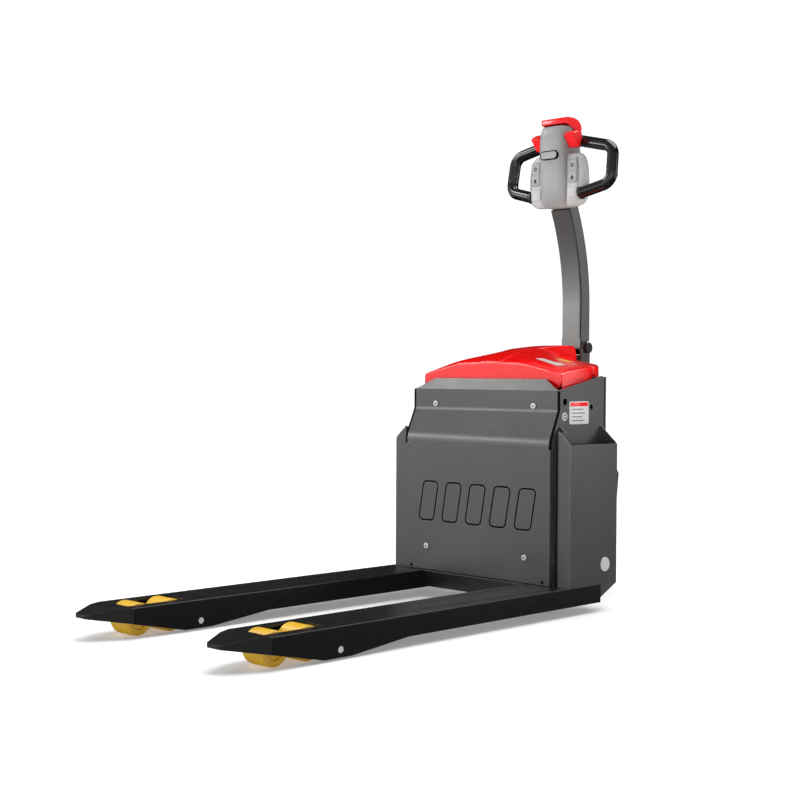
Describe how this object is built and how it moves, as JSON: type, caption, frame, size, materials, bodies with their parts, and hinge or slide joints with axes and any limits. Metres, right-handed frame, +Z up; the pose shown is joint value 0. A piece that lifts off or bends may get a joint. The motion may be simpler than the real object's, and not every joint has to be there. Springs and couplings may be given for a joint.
{
  "type": "powered pallet truck",
  "caption": "Walk-behind powered pallet truck with two forks, load wheels, storage pockets, a red hood and a curved steering tiller with loop handles.",
  "frame": {"origin": "on the floor, at the middle of the truck's length and width", "axes": "+Z up; -Y points along the forks away from the driver; +X is the truck's right side seen from the fork tips' side as drawn, with the forks towards the viewer"},
  "size_m": [0.685, 1.752, 1.451],
  "materials": {
    "fork_paint": "satin textured powder coat",
    "body_paint": "textured powder coat",
    "bright_steel": "zinc plated",
    "chrome_cap": "bright",
    "frame_black": "satin",
    "bearing_steel": "ground",
    "hydraulic_paint": "gloss",
    "battery_case": "moulded",
    "cast_aluminium": "as cast",
    "cast_iron_black": "painted casting",
    "cover_paint": "textured powder coat",
    "hood_red": "gloss moulded",
    "drive_tyre_rubber": "solid tyre",
    "load_wheel_pu": "cast polyurethane",
    "clevis_grey": "satin",
    "knob_black": "moulded",
    "arm_grey": "satin",
    "head_grey": "moulded",
    "grip_black": "gloss over-moulded",
    "control_red": "gloss moulded",
    "key_grey": "moulded keys"
  },
  "bodies": {
    "power_unit": {"base_plate": "frame_black", "left_chassis_plate": "frame_black", "right_chassis_plate": "frame_black", "turntable_plate": "frame_black", "slewing_ring_outer": "bearing_steel", "lift_cylinder": "hydraulic_paint", "hydraulic_unit": "hydraulic_paint", "battery": "battery_case", "controller": "cast_aluminium", "column_bracket": "frame_black", "rear_cover": "cover_paint", "hood": "hood_red", "drive_guard": "cover_paint"},
    "fork_frame": {"left_fork": "fork_paint", "right_fork": "fork_paint", "heel_beam": "fork_paint", "front_panel": "body_paint", "panel_bolts": "bright_steel", "left_inner_plate": "body_paint", "right_inner_plate": "body_paint", "left_side_pocket": "body_paint", "right_side_pocket": "body_paint", "pivot_bosses": "frame_black", "lift_crosshead": "frame_black", "lift_rod": "bright_steel", "bracket_pins": "bright_steel"},
    "rocker": {"rocker_shaft": "chrome_cap", "rocker_arms": "frame_black"},
    "steering": {"slewing_ring_inner": "bearing_steel", "gearbox": "cast_iron_black", "drive_motor": "cast_aluminium", "steering_column": "frame_black", "tiller_clevis": "clevis_grey", "tiller_pin": "knob_black"},
    "drive_wheel": {"drive_wheel_hub": "cast_iron_black", "drive_tyre": "drive_tyre_rubber"},
    "tiller": {"tiller_arm": "arm_grey", "tiller_root": "clevis_grey", "head_front_shell": "head_grey", "head_rear_shell": "head_grey", "left_handle": "grip_black", "right_handle": "grip_black"},
    "left_throttle": {"left_throttle": "control_red"},
    "right_throttle": {"right_throttle": "control_red"},
    "belly_button": {"belly_button": "control_red"},
    "horn_button": {"horn_button": "key_grey"},
    "left_bracket": {"left_wheel_bracket": "frame_black"},
    "left_bogie": {"left_bogie": "frame_black"},
    "left_push_rod": {"left_push_rod": "frame_black"},
    "left_front_load_wheel": {"left_front_load_wheel": "load_wheel_pu"},
    "left_rear_load_wheel": {"left_rear_load_wheel": "load_wheel_pu"},
    "left_upper_key": {"left_upper_key": "key_grey"},
    "left_lower_key": {"left_lower_key": "key_grey"},
    "right_bracket": {"right_wheel_bracket": "frame_black"},
    "right_bogie": {"right_bogie": "frame_black"},
    "right_push_rod": {"right_push_rod": "frame_black"},
    "right_front_load_wheel": {"right_front_load_wheel": "load_wheel_pu"},
    "right_rear_load_wheel": {"right_rear_load_wheel": "load_wheel_pu"},
    "right_upper_key": {"right_upper_key": "key_grey"},
    "right_lower_key": {"right_lower_key": "key_grey"}
  },
  "joints": [
    {"name": "lift", "type": "slide", "parent": "power_unit", "child": "fork_frame", "axis": [0, 0, 1], "range_m": [0, 0.115]},
    {"name": "rocker_turn", "type": "hinge", "parent": "fork_frame", "child": "rocker", "pos_m": [0, 0.447, 0.133], "axis": [-1, 0, 0], "range_deg": [0, 29.3]},
    {"name": "left_bracket_swing", "type": "hinge", "parent": "fork_frame", "child": "left_bracket", "pos_m": [-0.2675, -0.561, 0.025], "axis": [1, 0, 0], "range_deg": [0, 65.7]},
    {"name": "left_push_rod_slide", "type": "slide", "parent": "fork_frame", "child": "left_push_rod", "axis": [0, -1, 0], "range_m": [0, 0.0392]},
    {"name": "left_bogie_tilt", "type": "hinge", "parent": "left_bracket", "child": "left_bogie", "pos_m": [-0.2675, -0.676, 0.042], "axis": [1, 0, 0], "range_deg": [-6, 6]},
    {"name": "left_front_load_wheel_spin", "type": "hinge", "parent": "left_bogie", "child": "left_front_load_wheel", "pos_m": [-0.2675, -0.726, 0.042], "axis": [1, 0, 0], "continuous": true},
    {"name": "left_rear_load_wheel_spin", "type": "hinge", "parent": "left_bogie", "child": "left_rear_load_wheel", "pos_m": [-0.2675, -0.626, 0.042], "axis": [1, 0, 0], "continuous": true},
    {"name": "right_bracket_swing", "type": "hinge", "parent": "fork_frame", "child": "right_bracket", "pos_m": [0.2675, -0.561, 0.025], "axis": [1, 0, 0], "range_deg": [0, 65.7]},
    {"name": "right_push_rod_slide", "type": "slide", "parent": "fork_frame", "child": "right_push_rod", "axis": [0, -1, 0], "range_m": [0, 0.0392]},
    {"name": "right_bogie_tilt", "type": "hinge", "parent": "right_bracket", "child": "right_bogie", "pos_m": [0.2675, -0.676, 0.042], "axis": [1, 0, 0], "range_deg": [-6, 6]},
    {"name": "right_front_load_wheel_spin", "type": "hinge", "parent": "right_bogie", "child": "right_front_load_wheel", "pos_m": [0.2675, -0.726, 0.042], "axis": [1, 0, 0], "continuous": true},
    {"name": "right_rear_load_wheel_spin", "type": "hinge", "parent": "right_bogie", "child": "right_rear_load_wheel", "pos_m": [0.2675, -0.626, 0.042], "axis": [1, 0, 0], "continuous": true},
    {"name": "steer", "type": "hinge", "parent": "power_unit", "child": "steering", "pos_m": [0, 0.74, 0.245], "axis": [0, 0, 1], "range_deg": [-90, 90]},
    {"name": "drive_wheel_spin", "type": "hinge", "parent": "steering", "child": "drive_wheel", "pos_m": [0, 0.74, 0.105], "axis": [1, 0, 0], "continuous": true},
    {"name": "tiller_tilt", "type": "hinge", "parent": "steering", "child": "tiller", "pos_m": [0, 0.749, 0.75], "axis": [-1, 0, 0], "range_deg": [0, 80], "stiffness_Nm_per_rad": 32, "springref_deg": -11.46},
    {"name": "left_throttle_turn", "type": "hinge", "parent": "tiller", "child": "left_throttle", "pos_m": [-0.0635, 0.679, 1.381], "axis": [1, 0, 0], "range_deg": [-15, 15], "stiffness_Nm_per_rad": 3},
    {"name": "right_throttle_turn", "type": "hinge", "parent": "tiller", "child": "right_throttle", "pos_m": [0.0635, 0.679, 1.381], "axis": [1, 0, 0], "range_deg": [-15, 15], "stiffness_Nm_per_rad": 3},
    {"name": "belly_button_push", "type": "slide", "parent": "tiller", "child": "belly_button", "axis": [0, 0, -1], "range_m": [0, 0.006], "stiffness_N_per_m": 800, "springref_m": -0.004},
    {"name": "horn_button_push", "type": "slide", "parent": "tiller", "child": "horn_button", "axis": [0, 1, 0], "range_m": [0, 0.0025], "stiffness_N_per_m": 500, "springref_m": -0.002},
    {"name": "left_upper_key_push", "type": "slide", "parent": "tiller", "child": "left_upper_key", "axis": [0, 1, 0], "range_m": [0, 0.0015], "stiffness_N_per_m": 500, "springref_m": -0.0015},
    {"name": "left_lower_key_push", "type": "slide", "parent": "tiller", "child": "left_lower_key", "axis": [0, 1, 0], "range_m": [0, 0.0015], "stiffness_N_per_m": 500, "springref_m": -0.0015},
    {"name": "right_upper_key_push", "type": "slide", "parent": "tiller", "child": "right_upper_key", "axis": [0, 1, 0], "range_m": [0, 0.0015], "stiffness_N_per_m": 500, "springref_m": -0.0015},
    {"name": "right_lower_key_push", "type": "slide", "parent": "tiller", "child": "right_lower_key", "axis": [0, 1, 0], "range_m": [0, 0.0015], "stiffness_N_per_m": 500, "springref_m": -0.0015}
  ],
  "couplings": [
    {"joint": "rocker_turn", "follows": "lift", "rad_per_m": 4.446},
    {"joint": "left_bracket_swing", "follows": "lift", "rad_per_m": 9.9711},
    {"joint": "left_push_rod_slide", "follows": "lift", "ratio": 0.34087},
    {"joint": "right_bracket_swing", "follows": "lift", "rad_per_m": 9.9711},
    {"joint": "right_push_rod_slide", "follows": "lift", "ratio": 0.34087},
    {"joint": "right_throttle_turn", "follows": "left_throttle_turn", "ratio": 1}
  ]
}
